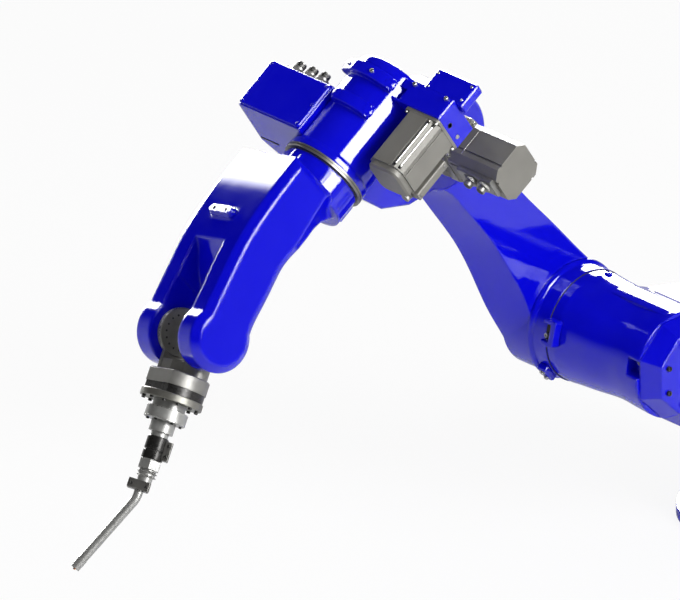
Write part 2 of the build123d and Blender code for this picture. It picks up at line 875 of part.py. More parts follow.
gearbox_flat = 41.0
with BuildPart() as tool_gearbox:
    with BuildSketch(across(wrist, housing_start)):
        Circle(wrist_housing_radius)
        with Locations((0, gearbox_flat + 30)):
            Rectangle(140, 60, mode=Mode.SUBTRACT)
    extrude(amount=gearbox_split - housing_start)
    chamfer(tool_gearbox.edges().group_by(Axis((0, 0, 0), wrist.x_dir))[0], 2)
save(tool_gearbox.part, "tool_gearbox")

with BuildPart() as gearbox_band:
    with BuildSketch(across(wrist, gearbox_split)):
        Circle(wrist_housing_radius - 1.5)
        with Locations((0, gearbox_flat + 29)):
            Rectangle(140, 60, mode=Mode.SUBTRACT)
    extrude(amount=gearbox_band_end - gearbox_split)
save(gearbox_band.part, "gearbox_band")

with BuildPart() as gearbox_flange:
    with BuildSketch(across(wrist, gearbox_band_end)):
        Circle(wrist_housing_radius + 1)
    extrude(amount=flange_face - gearbox_band_end - turn_gap)
    chamfer(gearbox_flange.edges(), 1)
save(gearbox_flange.part, "gearbox_flange")

# Tool: flange and torch, stacked along the tool axis
with BuildPart() as tool_flange:
    with BuildSketch(across(wrist, flange_face)):
        Circle(flange_radius)
    extrude(amount=mount_start - flange_face)
save(tool_flange.part, "tool_flange")

with BuildPart() as torch_mount:
    with BuildSketch(across(wrist, mount_start)):
        Circle(mount_radius)
    extrude(amount=23)
    chamfer(torch_mount.edges(), 1.5)
    with BuildSketch(across(wrist, mount_start + 23)):
        Circle(23.3)
    extrude(amount=21)
    with BuildSketch(across(wrist, mount_start + 44)):
        Circle(16.5)
    extrude(amount=9)
save(torch_mount.part, "torch_mount")

body_start = mount_start + 53
with BuildPart() as torch_body:
    with BuildSketch(level(torch, 0)):
        with BuildLine():
            Polyline(
                (body_start, 0),
                (body_start, 18.5),
                (body_start + 2, body_radius),
                (body_start + 25, body_radius),
                (body_start + 26, body_radius - 1.5),
                (body_start + 28, body_radius - 1.5),
                (body_start + 29, body_radius),
                (body_start + 43, body_radius),
                (body_start + 44, 15),
                (body_start + 44, 0),
                close=True,
            )
        make_face()
    revolve(axis=Axis(torch.origin, torch.x_dir), revolution_arc=360)
save(torch_body.part, "torch_body")

with BuildPart() as torch_clamp:
    with BuildSketch(across(torch, body_start + 4)):
        with Locations((0, -body_radius - 2)):
            RectangleRounded(26, 15, 2)
        Circle(body_radius + part_gap, mode=Mode.SUBTRACT)
    extrude(amount=36)
save(torch_clamp.part, "torch_clamp")

nut_start = body_start + 44
with BuildPart() as torch_nut:
    with BuildSketch(across(torch, nut_start)):
        RegularPolygon(nut_radius, 6)
    extrude(amount=19)
    with BuildSketch(across(torch, nut_start + 19)):
        Circle(16)
    extrude(amount=3)
    chamfer(torch_nut.edges().group_by(Axis((0, 0, 0), torch.x_dir))[0], 1.5)
save(torch_nut.part, "torch_nut")

ring_start = nut_start + 22
with BuildPart() as torch_collar:
    with BuildSketch(level(torch, 0)):
        with BuildLine():
            Polyline(
                (ring_start, 0),
                (ring_start, 15),
                (ring_start + 3, 19.5),
                (ring_start + 5, 16),
                (ring_start + 8, 16),
                (ring_start + 10, 19.5),
                (ring_start + 12, 14),
                (neck_clamp_start, 14),
                (neck_clamp_start, 0),
                close=True,
            )
        make_face()
    revolve(axis=Axis(torch.origin, torch.x_dir), revolution_arc=360)
save(torch_collar.part, "torch_collar")

with BuildPart() as neck_clamp:
    with BuildSketch(across(torch, neck_clamp_start)):
        with Locations((0, 7)):
            RectangleRounded(28, 42, 3)
    extrude(amount=neck_start - neck_clamp_start)
    chamfer(neck_clamp.edges().group_by(Axis((0, 0, 0), torch.x_dir))[-1], 2)
save(neck_clamp.part, "neck_clamp")

neck_plane = side(torch, 0)
with BuildPart() as torch_neck:
    with BuildLine(neck_plane) as neck_path:
        start_run = Line((neck_start, neck_offset), (neck_start + 5, neck_offset))
        bend_run = JernArc(start_run @ 1, start_run % 1, neck_bend_radius, torch_bend)
        end_run = Line(bend_run @ 1, bend_run @ 1 + (bend_run % 1) * neck_straight)
    with BuildSketch(across(torch, neck_start)):
        with Locations((0, neck_offset)):
            Circle(neck_radius)
    sweep(path=neck_path.wires()[0])
save(torch_neck.part, "torch_neck")

tip_direction = neck_path.wires()[0] % 1
tip_plane = Plane(origin=neck_path.wires()[0] @ 1, x_dir=torch.y_dir, z_dir=tip_direction)
with BuildPart() as torch_nozzle:
    with BuildSketch(tip_plane):
        Circle(nozzle_radius)
    extrude(amount=nozzle_length, taper=1)
    with BuildSketch(tip_plane.offset(nozzle_length)):
        Circle(nozzle_radius - 3.5)
    extrude(amount=-9, mode=Mode.SUBTRACT)
    with BuildSketch(tip_plane.offset(nozzle_length - 9)):
        Circle(3.2)
    extrude(amount=7)
save(torch_nozzle.part, "torch_nozzle")
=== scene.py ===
import bpy
import bmesh
import math
from mathutils import Matrix, Vector


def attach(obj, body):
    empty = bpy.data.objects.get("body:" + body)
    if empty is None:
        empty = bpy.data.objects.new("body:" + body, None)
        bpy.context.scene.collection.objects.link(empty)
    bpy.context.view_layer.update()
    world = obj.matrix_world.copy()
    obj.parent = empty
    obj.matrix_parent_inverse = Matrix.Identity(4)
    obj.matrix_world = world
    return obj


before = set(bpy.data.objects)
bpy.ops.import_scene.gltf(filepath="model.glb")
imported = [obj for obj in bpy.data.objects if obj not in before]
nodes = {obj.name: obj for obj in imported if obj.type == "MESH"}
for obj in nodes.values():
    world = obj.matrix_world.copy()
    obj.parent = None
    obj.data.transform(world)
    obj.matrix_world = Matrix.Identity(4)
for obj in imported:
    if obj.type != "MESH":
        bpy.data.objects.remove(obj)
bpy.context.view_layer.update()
print("frame loaded:", len(nodes), "nodes")

# posture of the arm in metres and degrees, as in the solids
posture = {
    "shoulder": (0.325, 0.0, 0.45),
    "lowerArm": 0.611,
    "rollSide": -0.147,
    "rollUp": 0.2,
    "forearm": 0.64,
    "lean": 36.2,
    "droop": 33.1,
    "roll": 20.6,
    "bend": 23.0,
    "torchTurn": 32.7,
    "neckBend": 23.0,
    "neckEnd": (0.4575, 0.0, 0.0618),
}


def turn(angle, axis):
    return Matrix.Rotation(math.radians(angle), 4, axis)


def shift(x, y, z):
    return Matrix.Translation((x, y, z))


baseLink = Matrix.Identity(4)
swivelLink = shift(*posture["shoulder"])
shoulderLink = swivelLink @ turn(posture["lean"], "Y")
elbowLink = shift(*(shoulderLink @ Vector((0, 0, posture["lowerArm"])))) @ turn(posture["droop"], "Y")
forearmLink = elbowLink @ shift(0, posture["rollSide"], posture["rollUp"]) @ turn(posture["roll"], "X")
wristLink = forearmLink @ shift(posture["forearm"], 0, 0) @ turn(posture["bend"], "Y")
torchLink = wristLink @ turn(posture["torchTurn"], "X")
tipLink = torchLink @ shift(*posture["neckEnd"]) @ turn(-posture["neckBend"], "Y")

# the roll axis in the elbow's frame, and the ways that pieces point
rollAxis = (posture["rollSide"] * 1000, posture["rollUp"] * 1000)
plusX, minusX, plusY, minusY, plusZ = (1, 0, 0), (-1, 0, 0), (0, 1, 0), (0, -1, 0), (0, 0, 1)


def addObject(name, data):
    thing = bpy.data.objects.new(name, data)
    bpy.context.scene.collection.objects.link(thing)
    return thing


# camera: the photograph's far, nearly parallel view
cameraSetup = {
    "target": (0.9571, -0.1454, 0.7077),
    "toward": (0.6273, 0.6480, 0.4305),
    "distance": 50.0,
    "widthAtTarget": 1.2566,
    "sensor": 36.0,
    "clipEnd": 200,
}
cameraData = bpy.data.cameras.new("camera")
camera = addObject("camera", cameraData)
backward = Vector(cameraSetup["toward"]).normalized()
rightward = Vector(plusZ).cross(backward).normalized()
upward = backward.cross(rightward)
camera.matrix_world = (
    shift(*(Vector(cameraSetup["target"]) + backward * cameraSetup["distance"]))
    @ Matrix((rightward, upward, backward)).transposed().to_4x4()
)
cameraData.sensor_width = cameraSetup["sensor"]
cameraData.lens = cameraSetup["sensor"] * cameraSetup["distance"] / cameraSetup["widthAtTarget"]
cameraData.clip_end = cameraSetup["clipEnd"]
cameraData.dof.use_dof = False
bpy.context.scene.camera = camera
bpy.context.scene.view_settings.view_transform = "Standard"


def addNode(tree, kind):
    return tree.nodes.new("ShaderNode" + kind)


def emptyTree(holder):
    holder.use_nodes = True
    holder.node_tree.nodes.clear()
    return holder.node_tree


def wire(tree, *pairs):
    for source, target in pairs:
        tree.links.new(source, target)


def feed(tree, socket, value):
    if isinstance(value, (int, float)):
        socket.default_value = value
    elif isinstance(value, tuple):
        socket.default_value = (*value, 1.0)
    elif value is not None:
        tree.links.new(value, socket)


def mathNode(tree, operation, first, second):
    node = addNode(tree, "Math")
    node.operation = operation
    feed(tree, node.inputs[0], first)
    feed(tree, node.inputs[1], second)
    return node.outputs[0]


def mixValue(tree, factor, low, high):
    node = addNode(tree, "Mix")
    node.data_type = "FLOAT"
    for index, value in ((0, factor), (2, low), (3, high)):
        feed(tree, node.inputs[index], value)
    return node.outputs[0]


def mixColour(tree, factor, low, high):
    node = addNode(tree, "Mix")
    node.data_type = "RGBA"
    for index, value in ((0, factor), (6, low), (7, high)):
        feed(tree, node.inputs[index], value)
    return node.outputs[2]


def remap(tree, value, fromRange, toRange):
    node = addNode(tree, "MapRange")
    feed(tree, node.inputs["Value"], value)
    node.inputs["From Min"].default_value, node.inputs["From Max"].default_value = fromRange
    node.inputs["To Min"].default_value, node.inputs["To Max"].default_value = toRange
    return node.outputs[0]


# lamps: a soft key with its fill, and two cards that only gloss sees
lampCentre = Vector((0.85, -0.1, 0.75))
lampSetup = {
    "key": dict(way=(-0.11, 0.87, 0.47), distance=7.0, size=(3.0, 3.0), power=430.0, seen="diffuse"),
    "fill": dict(way=(0.8, -0.1, 0.6), distance=7.0, size=(4.0, 4.0), power=70.0, seen="diffuse"),
    "cardLeft": dict(way=(-0.03, 0.86, 0.515), distance=6.0, size=(2.6, 4.0), power=900.0, seen="gloss"),
    "cardBack": dict(
        way=(-0.531, -0.833, 0.156), distance=6.0, size=(5.9, 3.44), power=1800.0, seen="gloss", fade=0.055,
    ),
}
for lampName, lampFacts in lampSetup.items():
    lampData = bpy.data.lights.new(lampName, "AREA")
    lampData.shape = "RECTANGLE"
    lampData.size, lampData.size_y = lampFacts["size"]
    lampData.energy = lampFacts["power"]
    lamp = addObject(lampName, lampData)
    way = Vector(lampFacts["way"]).normalized()
    lamp.location = lampCentre + way * lampFacts["distance"]
    lamp.rotation_mode = "QUATERNION"
    lamp.rotation_quaternion = way.to_track_quat("Z", "Y")
    lamp.visible_diffuse = lampFacts["seen"] == "diffuse"
    lamp.visible_glossy = lampFacts["seen"] == "gloss"
    if "fade" in lampFacts:
        # the card's light fades out towards both its ends
        lampData.use_nodes = True
        lampTree = lampData.node_tree
        lampSpot, lampSplit = addNode(lampTree, "NewGeometry"), addNode(lampTree, "SeparateXYZ")
        wire(lampTree, (lampSpot.outputs["Parametric"], lampSplit.inputs[0]))
        inward = mathNode(lampTree, "PINGPONG", lampSplit.outputs["X"], 0.5)
        strength = remap(lampTree, inward, (0.0, lampFacts["fade"]), (0.0, 1.0))
        wire(lampTree, (strength, lampTree.nodes["Emission"].inputs["Strength"]))

# world: white to the camera, plain for diffuse light, a band near the horizon for gloss
worldSetup = {"ambient": 0.5, "glossBand": (0.0, 0.17), "glossLevels": (0.45, 0.0)}
world = bpy.data.worlds.new("studio")
bpy.context.scene.world = world
worldTree = emptyTree(world)
worldOut, worldShader = addNode(worldTree, "OutputWorld"), addNode(worldTree, "Background")
worldShader.inputs["Color"].default_value = (1, 1, 1, 1)
worldPath, worldCoords = addNode(worldTree, "LightPath"), addNode(worldTree, "TexCoord")
worldSplit = addNode(worldTree, "SeparateXYZ")
wire(worldTree, (worldCoords.outputs["Generated"], worldSplit.inputs[0]))
glossLight = remap(worldTree, worldSplit.outputs["Z"], worldSetup["glossBand"], worldSetup["glossLevels"])
level = mixValue(worldTree, worldPath.outputs["Is Glossy Ray"], worldSetup["ambient"], glossLight)
level = mixValue(worldTree, worldPath.outputs["Is Transmission Ray"], level, 1.0)
level = mixValue(worldTree, worldPath.outputs["Is Camera Ray"], level, 1.0)
wire(worldTree, (level, worldShader.inputs["Strength"]), (worldShader.outputs[0], worldOut.inputs[0]))

# floor: pale, keeps the shadow, nearly white to the camera
floorSetup = {"radius": 60.0, "centre": (0.6, 0, -0.0005), "sides": 96, "tone": 0.88, "whiteShare": 0.9}
floorMesh = bpy.data.meshes.new("floor")
floorForm = bmesh.new()
bmesh.ops.create_circle(
    floorForm, cap_ends=True, segments=floorSetup["sides"], radius=floorSetup["radius"],
    matrix=shift(*floorSetup["centre"]),
)
floorForm.to_mesh(floorMesh)
floorForm.free()
floor = addObject("floor", floorMesh)
floorFinish = bpy.data.materials.new("paleFloor")
floorTree = emptyTree(floorFinish)
floorOut, floorBlend = addNode(floorTree, "OutputMaterial"), addNode(floorTree, "MixShader")
floorMatt, floorGlow = addNode(floorTree, "BsdfDiffuse"), addNode(floorTree, "Emission")
floorMatt.inputs["Color"].default_value = (*[floorSetup["tone"]] * 3, 1)
floorPath = addNode(floorTree, "LightPath")
floorWhite = mathNode(floorTree, "MULTIPLY", floorPath.outputs["Is Camera Ray"], floorSetup["whiteShare"])
wire(
    floorTree,
    (floorWhite, floorBlend.inputs[0]),
    (floorMatt.outputs[0], floorBlend.inputs[1]),
    (floorGlow.outputs[0], floorBlend.inputs[2]),
    (floorBlend.outputs[0], floorOut.inputs[0]),
)
floorMesh.materials.append(floorFinish)
print("camera, lamps and floor set")


def newGroup(name, inputs, outputs):
    group = bpy.data.node_groups.new(name, "ShaderNodeTree")
    for label, kind, value in inputs:
        socket = group.interface.new_socket(label, in_out="INPUT", socket_type=kind)
        if value is not None:
            socket.default_value = value
    for label, kind in outputs:
        group.interface.new_socket(label, in_out="OUTPUT", socket_type=kind)
    return group, group.nodes.new("NodeGroupInput"), group.nodes.new("NodeGroupOutput")


def noiseValue(tree, scale, detail, roughness):
    coords, noise = addNode(tree, "TexCoord"), addNode(tree, "TexNoise")
    noise.inputs["Detail"].default_value = detail
    noise.inputs["Roughness"].default_value = roughness
    feed(tree, noise.inputs["Scale"], scale)
    wire(tree, (coords.outputs["Object"], noise.inputs["Vector"]))
    return noise.outputs[0]


# rounded edges, with a mask of where an edge is
edgeGroup, edgeIn, edgeOut = newGroup(
    "softEdges",
    [("Radius", "NodeSocketFloat", 0.002), ("Spread", "NodeSocketFloat", 0.12)],
    [("Edge", "NodeSocketFloat"), ("Normal", "NodeSocketVector")],
)
edgeBevel, edgeFace = addNode(edgeGroup, "Bevel"), addNode(edgeGroup, "NewGeometry")
edgeBevel.samples = 6
edgeDot = addNode(edgeGroup, "VectorMath")
edgeDot.operation = "DOT_PRODUCT"
wire(
    edgeGroup,
    (edgeIn.outputs["Radius"], edgeBevel.inputs["Radius"]),
    (edgeBevel.outputs[0], edgeDot.inputs[0]),
    (edgeFace.outputs["Normal"], edgeDot.inputs[1]),
    (edgeBevel.outputs[0], edgeOut.inputs["Normal"]),
)
edgeTurn = mathNode(edgeGroup, "SUBTRACT", 1.0, edgeDot.outputs["Value"])
edgeMask = mathNode(edgeGroup, "DIVIDE", edgeTurn, edgeIn.outputs["Spread"])
wire(edgeGroup, (mathNode(edgeGroup, "MINIMUM", edgeMask, 1.0), edgeOut.inputs["Edge"]))

# fine relief: orange peel of paint, cast skin or turning marks
reliefHeight = 0.001
reliefGroup, reliefIn, reliefOut = newGroup(
    "fineRelief",
    [
        ("Scale", "NodeSocketFloat", 400.0), ("Depth", "NodeSocketFloat", 0.05),
        ("Normal", "NodeSocketVector", None),
    ],
    [("Normal", "NodeSocketVector")],
)
reliefNoise = noiseValue(reliefGroup, reliefIn.outputs["Scale"], 2.0, 0.5)
reliefBump = addNode(reliefGroup, "Bump")
reliefBump.inputs["Distance"].default_value = reliefHeight
wire(
    reliefGroup,
    (reliefIn.outputs["Depth"], reliefBump.inputs["Strength"]),
    (reliefNoise, reliefBump.inputs["Height"]),
    (reliefIn.outputs["Normal"], reliefBump.inputs["Normal"]),
    (reliefBump.outputs[0], reliefOut.inputs["Normal"]),
)

# thin dust on what faces up, and slow changes of gloss from handling
dustGroup, dustIn, dustOut = newGroup(
    "settledDust",
    [("Amount", "NodeSocketFloat", 0.3), ("Scale", "NodeSocketFloat", 30.0)],
    [("Mask", "NodeSocketFloat"), ("Marks", "NodeSocketFloat")],
)
dustFace, dustSplit = addNode(dustGroup, "NewGeometry"), addNode(dustGroup, "SeparateXYZ")
wire(dustGroup, (dustFace.outputs["Normal"], dustSplit.inputs[0]))
dustPatch = noiseValue(dustGroup, dustIn.outputs["Scale"], 5.0, 0.6)
dustUp = mathNode(dustGroup, "MAXIMUM", dustSplit.outputs["Z"], 0.0)
dustLoad = mathNode(dustGroup, "MULTIPLY", dustUp, dustPatch)
wire(
    dustGroup,
    (mathNode(dustGroup, "MULTIPLY", dustLoad, dustIn.outputs["Amount"]), dustOut.inputs["Mask"]),
    (dustPatch, dustOut.inputs["Marks"]),
)


def useGroup(tree, group, **values):
    node = addNode(tree, "Group")
    node.node_tree = group
    for label, value in values.items():
        feed(tree, node.inputs[label], value)
    return node


# finishes: two tones, edge tone (lighter: partly edge wear, partly a painted edge highlight), roughness
# range, relief (scale, depth), edge radius in metres
finishes = {
    "bluePaint": dict(
        # the blue paint's edge tone is a brighter blue: a painted edge highlight
        tones=((0.0015, 0.0015, 0.50), (0.0022, 0.0024, 0.54)), edge=(0.006, 0.007, 0.66),
        rough=(0.035, 0.075), metal=0.0, relief=(420.0, 0.006), radius=0.0055, dust=0.01, patch=5.0,
    ),
    "machinedSteel": dict(
        tones=((0.15, 0.147, 0.13), (0.20, 0.196, 0.175)), edge=(0.42, 0.41, 0.38),
        rough=(0.34, 0.44), metal=0.7, relief=(900.0, 0.05), radius=0.0008, dust=0.03, patch=40.0,
    ),
    "motorGrey": dict(
        tones=((0.150, 0.145, 0.130), (0.175, 0.170, 0.152)), edge=(0.34, 0.33, 0.31),
        rough=(0.48, 0.60), metal=0.15, relief=(700.0, 0.08), radius=0.0012, dust=0.03, patch=20.0,
    ),
    "castSteel": dict(
        tones=((0.165, 0.162, 0.15), (0.205, 0.202, 0.188)), edge=(0.48, 0.47, 0.45),
        rough=(0.34, 0.44), metal=0.5, relief=(700.0, 0.06), radius=0.0010, dust=0.02, patch=30.0,
    ),
    "darkSteel": dict(
        tones=((0.095, 0.092, 0.086), (0.13, 0.127, 0.12)), edge=(0.33, 0.32, 0.31),
        rough=(0.28, 0.38), metal=0.8, relief=(820.0, 0.05), radius=0.0008, dust=0.02, patch=30.0,
    ),
    "blackSteel": dict(
        tones=((0.018, 0.0175, 0.017), (0.03, 0.029, 0.028)), edge=(0.16, 0.16, 0.155),
        rough=(0.24, 0.34), metal=0.6, relief=(820.0, 0.04), radius=0.0008, dust=0.02, patch=30.0,
    ),
    "torchSteel": dict(
        tones=((0.26, 0.26, 0.25), (0.34, 0.34, 0.33)), edge=(0.60, 0.60, 0.58),
        rough=(0.30, 0.40), metal=0.55, relief=(300.0, 0.004), radius=0.0006, dust=0.01, patch=60.0,
    ),
    "connectorMetal": dict(
        tones=((0.17, 0.168, 0.16), (0.22, 0.217, 0.21)), edge=(0.45, 0.45, 0.43),
        rough=(0.36, 0.46), metal=0.5, relief=(900.0, 0.06), radius=0.0006, dust=0.03, patch=50.0,
    ),
    "zincScrew": dict(
        tones=((0.40, 0.40, 0.38), (0.52, 0.52, 0.50)), edge=(0.8, 0.8, 0.78),
        rough=(0.22, 0.34), metal=0.9, relief=(1200.0, 0.04), radius=0.0004, dust=0.02, patch=90.0,
    ),
    "blackRubber": dict(
        tones=((0.008, 0.008, 0.008), (0.014, 0.014, 0.014)), edge=(0.03, 0.03, 0.03),
        rough=(0.5, 0.65), metal=0.0, relief=(1400.0, 0.12), radius=0.0005, dust=0.06, patch=50.0,
    ),
    "copperTip": dict(
        tones=((0.55, 0.27, 0.15), (0.66, 0.34, 0.20)), edge=(0.85, 0.5, 0.34),
        rough=(0.25, 0.38), metal=1.0, relief=(1200.0, 0.05), radius=0.0003, dust=0.02, patch=90.0,
    ),
}
# the forearm's casting has rounder edges than the rest
finishes["castPaint"] = {**finishes["bluePaint"], "radius": 0.009}

# share of the lighter edge tone (edge wear and painted edge highlight), then dust tone, dust scale and noise
# range
wearAndSheen = {"edgeShare": 0.35, "dustTone": (0.45, 0.44, 0.42), "dustScale": 4, "noiseRange": (0.3, 0.7)}


def buildFinish(name, facts):
    finish = bpy.data.materials.new(name)
    tree = emptyTree(finish)
    out, shader = addNode(tree, "OutputMaterial"), addNode(tree, "BsdfPrincipled")
    edges = useGroup(tree, edgeGroup, Radius=facts["radius"])
    scale, depth = facts["relief"]
    relief = useGroup(tree, reliefGroup, Scale=scale, Depth=depth, Normal=edges.outputs["Normal"])
    dust = useGroup(tree, dustGroup, Amount=facts["dust"], Scale=facts["patch"] * wearAndSheen["dustScale"])
    patches = remap(tree, noiseValue(tree, facts["patch"], 4.0, 0.55), wearAndSheen["noiseRange"], (0.0, 1.0))
    # rounded edges take the lighter edge tone: partly wear, partly a painted edge highlight
    edgeWearAndSheen = mathNode(tree, "MULTIPLY", edges.outputs["Edge"], wearAndSheen["edgeShare"])
    tone = mixColour(tree, patches, *facts["tones"])
    tone = mixColour(tree, edgeWearAndSheen, tone, facts["edge"])
    tone = mixColour(tree, dust.outputs["Mask"], tone, wearAndSheen["dustTone"])
    wire(
        tree,
        (tone, shader.inputs["Base Color"]),
        (remap(tree, dust.outputs["Marks"], wearAndSheen["noiseRange"], facts["rough"]), shader.inputs["Roughness"]),
        (relief.outputs["Normal"], shader.inputs["Normal"]),
        (shader.outputs[0], out.inputs[0]),
    )
    shader.inputs["Metallic"].default_value = facts["metal"]
    return finish


materials = {name: buildFinish(name, facts) for name, facts in finishes.items()}

# what isn't listed is blue paint
nodeFinish = {
    "forearm": "castPaint",
    "base_connectors": "connectorMetal",
    "base_ring": "machinedSteel",
    "swivel_motor": "motorGrey",
    "roll_bearing_ring": "machinedSteel",
    "junction_connectors": "connectorMetal",
    "roll_motor": "motorGrey",
    "roll_motor_connectors": "motorGrey",
    "elbow_gearbox": "castSteel",
    "elbow_motor": "motorGrey",
    "elbow_motor_connectors": "connectorMetal",
    "wrist_hub_disc": "castSteel",
    "wrist_yoke": "castSteel",
    "tool_gearbox": "castSteel",
    "gearbox_band": "blackSteel",
    "gearbox_flange": "machinedSteel",
    "tool_flange": "torchSteel",
    "torch_mount": "torchSteel",
    "torch_body": "blackSteel",
    "torch_clamp": "darkSteel",
    "torch_nut": "torchSteel",
    "torch_collar": "torchSteel",
    "neck_clamp": "darkSteel",
    "torch_neck": "torchSteel",
    "torch_nozzle": "torchSteel",
}
for nodeName, node in nodes.items():
    node.data.materials.clear()
    node.data.materials.append(materials[nodeFinish.get(nodeName, "bluePaint")])
print("finishes on", len(nodes), "nodes")


# shapes are made in millimetres and pressed into a piece at a seat on a link
def seat(link, point, aim, along=None):
    z = Vector(aim).normalized()
    guess = Vector(along or (plusX if abs(z.x) < 0.8 else plusY))
    y = z.cross(guess).normalized()
    axes = Matrix((y.cross(z), y, z)).transposed().to_4x4()
    return link @ Matrix.Translation(Vector(point) / 1000) @ axes


def barrelSeat(angle, side, radius):
    # on a cylinder round the shoulder's axis, angle measured up from +X
    lean = math.radians(angle)
    aim = (math.cos(lean), 0, math.sin(lean))
    return seat(swivelLink, (radius * aim[0], side, radius * aim[2]), aim, plusY)


def tubeSeat(x, angle, radius):
    # on a cylinder round the roll axis, angle measured up from +Y
    lean = math.radians(angle)
    aim = (0, math.cos(lean), math.sin(lean))
    return seat(elbowLink, (x, rollAxis[0] + radius * aim[1], rollAxis[1] + radius * aim[2]), aim)


def around(count, start=0.0):
    return [start + 360 * index / count for index in range(count)]


def circle(radius, angles, centre=(0, 0)):
    leans = [math.radians(angle) for angle in angles]
    return [(centre[0] + radius * math.cos(lean), centre[1] + radius * math.sin(lean)) for lean in leans]


def square(centre, offset):
    return [(centre[0] + a, centre[1] + b) for a in (-offset, offset) for b in (-offset, offset)]


def onPlane(axis, level, pairs):
    # points in the plane across an axis, at a level along it
    place = "XYZ".index(axis)
    return [(*pair[:place], level, *pair[place:]) for pair in pairs]


def press(piece, die, place, size=1.0):
    copy = die.copy()
    copy.transform(place @ Matrix.Scale(size / 1000, 4))
    piece.from_mesh(copy)
    bpy.data.meshes.remove(copy)


def harden(form):
    bmesh.ops.remove_doubles(form, verts=form.verts, dist=1e-5)
    bmesh.ops.recalc_face_normals(form, faces=form.faces)
    die = bpy.data.meshes.new("die")
    form.to_mesh(die)
    form.free()
    return die


def turned(levels, sides=24, closed=False):
    # levels are (radius, height) or (half width over flats, height, corners), bridged in turn
    form = bmesh.new()
    loops = []
    for radius, height, *corners in levels:
        before = len(form.edges)
        place = shift(0, 0, height)
        if corners:
            reach = radius / math.cos(math.pi / corners[0])
            made = bmesh.ops.create_circle(form, segments=corners[0], radius=reach, matrix=place)
            rim = list({edge for vert in made["verts"] for edge in vert.link_edges})
            bmesh.ops.subdivide_edges(form, edges=rim, cuts=sides // corners[0] - 1)
        else:
            bmesh.ops.create_circle(form, segments=sides, radius=radius, matrix=place)
        loops.append(list(form.edges)[before:])
    for low, high in zip(loops, loops[1:] + loops[:1] if closed else loops[1:]):
        bmesh.ops.bridge_loops(form, edges=low + high)
    if not closed:
        bmesh.ops.edgeloop_fill(form, edges=loops[0])
        bmesh.ops.edgeloop_fill(form, edges=loops[-1])
    return harden(form)


def block(width, depth, height, edge):
    # a box on its seat, every edge rounded
    form = bmesh.new()
    place = shift(0, 0, height / 2) @ Matrix.Diagonal((width, depth, height, 1))
    bmesh.ops.create_cube(form, size=1.0, matrix=place)
    bmesh.ops.bevel(
        form, geom=list(form.edges), offset=edge, offset_type="OFFSET", segments=2, profile=0.5,
        affect="EDGES", material=-1,
    )
    return harden(form)


def knurledNut(radius, length, bore):
    edge, knurl, sides = 0.6, radius * 0.03, 36
    form = bmesh.new()
    levels = [(radius - edge, 0), (radius, edge), (radius, length - edge), (radius - edge, length)]
    form.from_mesh(turned(levels, sides))
    grip = [face for face in form.faces if abs(face.normal.z) < 0.1 and face.calc_area() > length * 0.2]
    bmesh.ops.inset_individual(form, faces=grip, thickness=knurl, depth=-knurl)
    top = max(form.faces, key=lambda face: face.calc_center_median().z)
    bmesh.ops.inset_region(form, faces=[top], thickness=radius - edge - bore)
    bmesh.ops.inset_region(form, faces=[top], thickness=0.2, depth=-length * 0.5)
    return harden(form)


# heads in units of their own radius
dies = {
    "socketHead": turned([(1, 0), (1, 1.0), (0.88, 1.15), (0.55, 1.15, 6), (0.55, 0.55, 6)]),
    "lowHead": turned([(1, 0), (1, 0.2), (0.82, 0.48), (0.45, 0.55), (0.42, 0.55, 6), (0.42, 0.2, 6)]),
    "hexHead": turned(
        [(1.18, 0), (1.18, 0.16), (0.96, 0.16), (0.87, 0.17, 6), (0.87, 0.72, 6), (0.78, 0.82)]
    ),
    # a dark dish that stands in for the shade inside a hole: painted shade
    "holeShade": turned([(1.35, 0), (1.3, 0.18), (1.0, 0.18), (0.85, 0.05)]),
    "pin": turned([(1, 0), (1, 4.2), (0.5, 5.0)], 12),
}


def makePiece(name, body, finish, form, smooth=32.0):
    bmesh.ops.recalc_face_normals(form, faces=form.faces)
    mesh = bpy.data.meshes.new(name)
    form.to_mesh(mesh)
    form.free()
    mesh.materials.append(materials[finish])
    mesh.shade_smooth()
    mesh.set_sharp_from_angle(angle=math.radians(smooth))
    piece = addObject(name, mesh)
    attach(piece, body)


def makeFixings(name, body, finish, slotName, *sets):
    # screws, and dark dishes painted in as the shade of holes: each set is one head, its radius, the way it
    # points and its spots
    form = bmesh.new()
    for facts in sets:
        for spot in facts["spots"]:
            press(form, dies[facts["head"]], seat(facts["link"], spot, facts["aim"]), facts["radius"])
    makePiece(name, body, finish, form)


def makeHoops(name, body, finish, facts):
    # thin rings, each from its spot up, with the outer radius set in by a lip at both edges
    inner, outer, width, (lowLip, highLip) = (facts[key] for key in ("inner", "outer", "width", "lips"))
    levels = [(inner, 0), (outer, lowLip), (outer, width - highLip), (inner, width)]
    hoop = turned(levels, facts["sides"], closed=True)
    form = bmesh.new()
    for spot in facts["spots"]:
        press(form, hoop, seat(facts["link"], spot, facts["aim"]))
    makePiece(name, body, finish, form)


